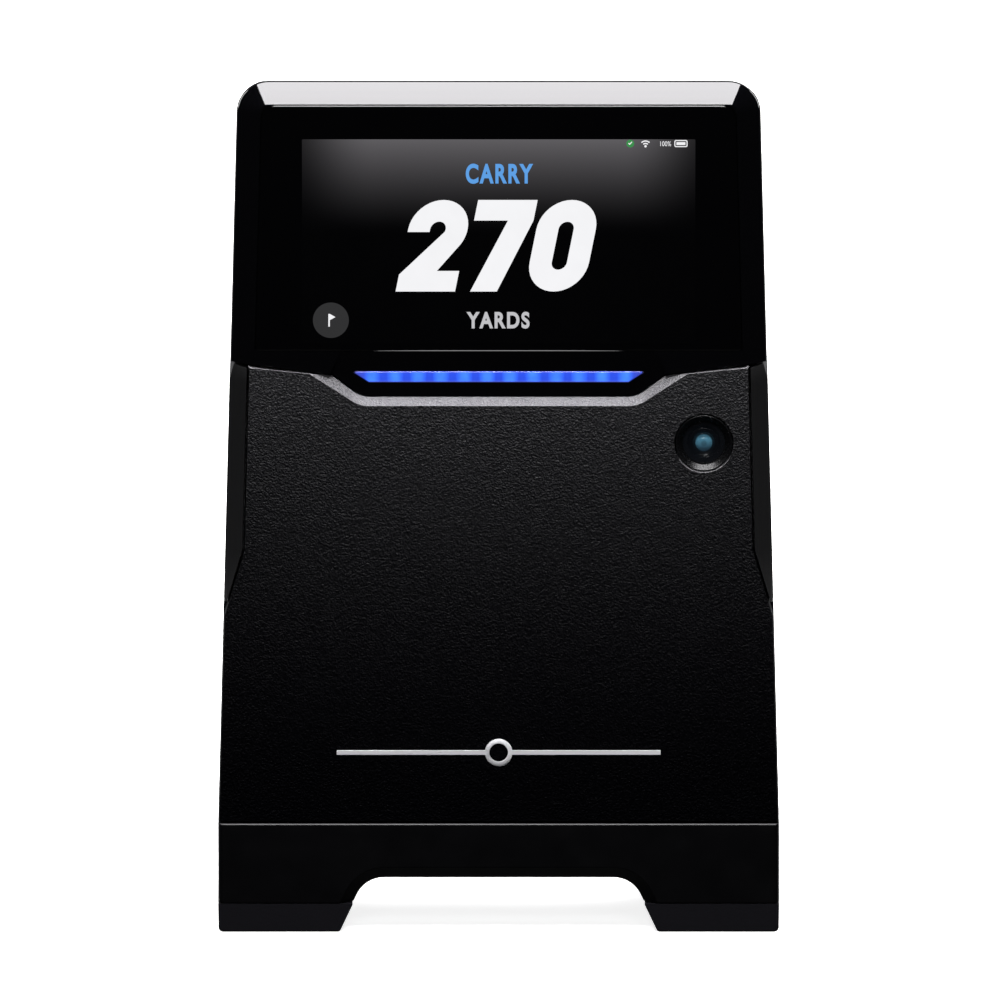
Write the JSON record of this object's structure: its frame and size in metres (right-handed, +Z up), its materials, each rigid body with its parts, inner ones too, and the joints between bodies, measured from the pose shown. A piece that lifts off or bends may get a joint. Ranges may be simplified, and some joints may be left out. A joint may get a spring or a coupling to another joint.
{
  "type": "golf launch monitor",
  "caption": "Upright golf launch monitor with a display head, light bar, camera, radar panel, arched base, rear fold-out kickstand, power button and charging-port flap.",
  "frame": {"origin": "middle of the footprint on the plane of the foot pads' flat undersides", "axes": "+Z up along the height, front with the display facing -Y, +X to the right as seen from the front"},
  "size_m": [0.166, 0.078, 0.254],
  "materials": {
    "textured_black": "fine leather grain, matte",
    "satin_black": "satin",
    "gloss_black": "high gloss",
    "soft_black": "soft touch, matte",
    "rubber_black": "matte",
    "cover_glass": "polished, black printed border",
    "screen_black": "display laminate",
    "light_blue": "diffuse, lit",
    "led_white": "translucent",
    "lens_glass": "coated lens, polished",
    "clear_window": "polished, tinted",
    "board_green": "solder mask",
    "tinned_steel": "tinned",
    "aluminium": "bead blasted",
    "dark_anodised": "black anodised, satin",
    "chip_black": "moulded, matte",
    "cell_wrap": "shrink wrap over metal cells",
    "holder_black": "moulded",
    "cable_black": "smooth",
    "flex_amber": "polyimide film",
    "screw_black": "black oxide",
    "steel": "ground",
    "brass": "machined",
    "badge_silver": "bright satin"
  },
  "bodies": {
    "casing": {"base_housing": "satin_black", "foot_pad_left": "rubber_black", "foot_pad_right": "rubber_black", "body_shell": "satin_black", "side_grip_left": "soft_black", "side_grip_right": "soft_black", "front_panel": "textured_black", "badge": "badge_silver", "head_bezel": "gloss_black", "head_rear_shell": "gloss_black", "display_glass": "cover_glass", "oled_panel": "screen_black", "display_bracket": "aluminium", "display_board": "board_green", "display_flex": "flex_amber", "light_bar": "light_blue", "led_board": "board_green", "wireless_antenna": "board_green", "camera_bezel": "gloss_black", "camera_window": "clear_window", "camera_barrel": "chip_black", "camera_lens": "lens_glass", "camera_board": "board_green", "radar_board": "board_green", "radar_shield": "tinned_steel", "chassis_plate": "aluminium", "chassis_floor": "aluminium", "main_board": "board_green", "heat_sink": "dark_anodised", "battery_pack": "cell_wrap", "battery_holder_lower": "holder_black", "battery_holder_upper": "holder_black", "battery_lead": "cable_black", "rear_screw_1": "screw_black", "rear_screw_2": "screw_black", "rear_screw_3": "screw_black", "rear_screw_4": "screw_black", "base_screw_1": "screw_black", "base_screw_2": "screw_black", "base_screw_3": "screw_black", "base_screw_4": "screw_black", "kickstand_tray": "satin_black", "kickstand_pin": "steel", "friction_washer_left": "steel", "friction_washer_right": "steel", "button_switch": "chip_black", "button_board": "board_green", "status_light_pipe": "led_white", "port_cover_pin": "steel", "usb_socket": "tinned_steel", "usb_board": "board_green", "tripod_insert": "brass"},
    "stand": {"kickstand": "dark_anodised", "kickstand_tip": "rubber_black"},
    "button": {"power_button": "soft_black"},
    "flap": {"port_cover": "soft_black"}
  },
  "joints": [
    {"name": "kickstand_hinge", "type": "hinge", "parent": "casing", "child": "stand", "pos_m": [0, 0.0336, 0.045], "axis": [-1, 0, 0], "range_deg": [0, 130]},
    {"name": "power_button_press", "type": "slide", "parent": "casing", "child": "button", "axis": [0, -1, 0], "range_m": [0, 0.0012], "stiffness_N_per_m": 800, "springref_m": -0.0003},
    {"name": "port_cover_hinge", "type": "hinge", "parent": "casing", "child": "flap", "pos_m": [0, 0.0376, 0.0275], "axis": [1, 0, 0], "range_deg": [0, 90]}
  ]
}
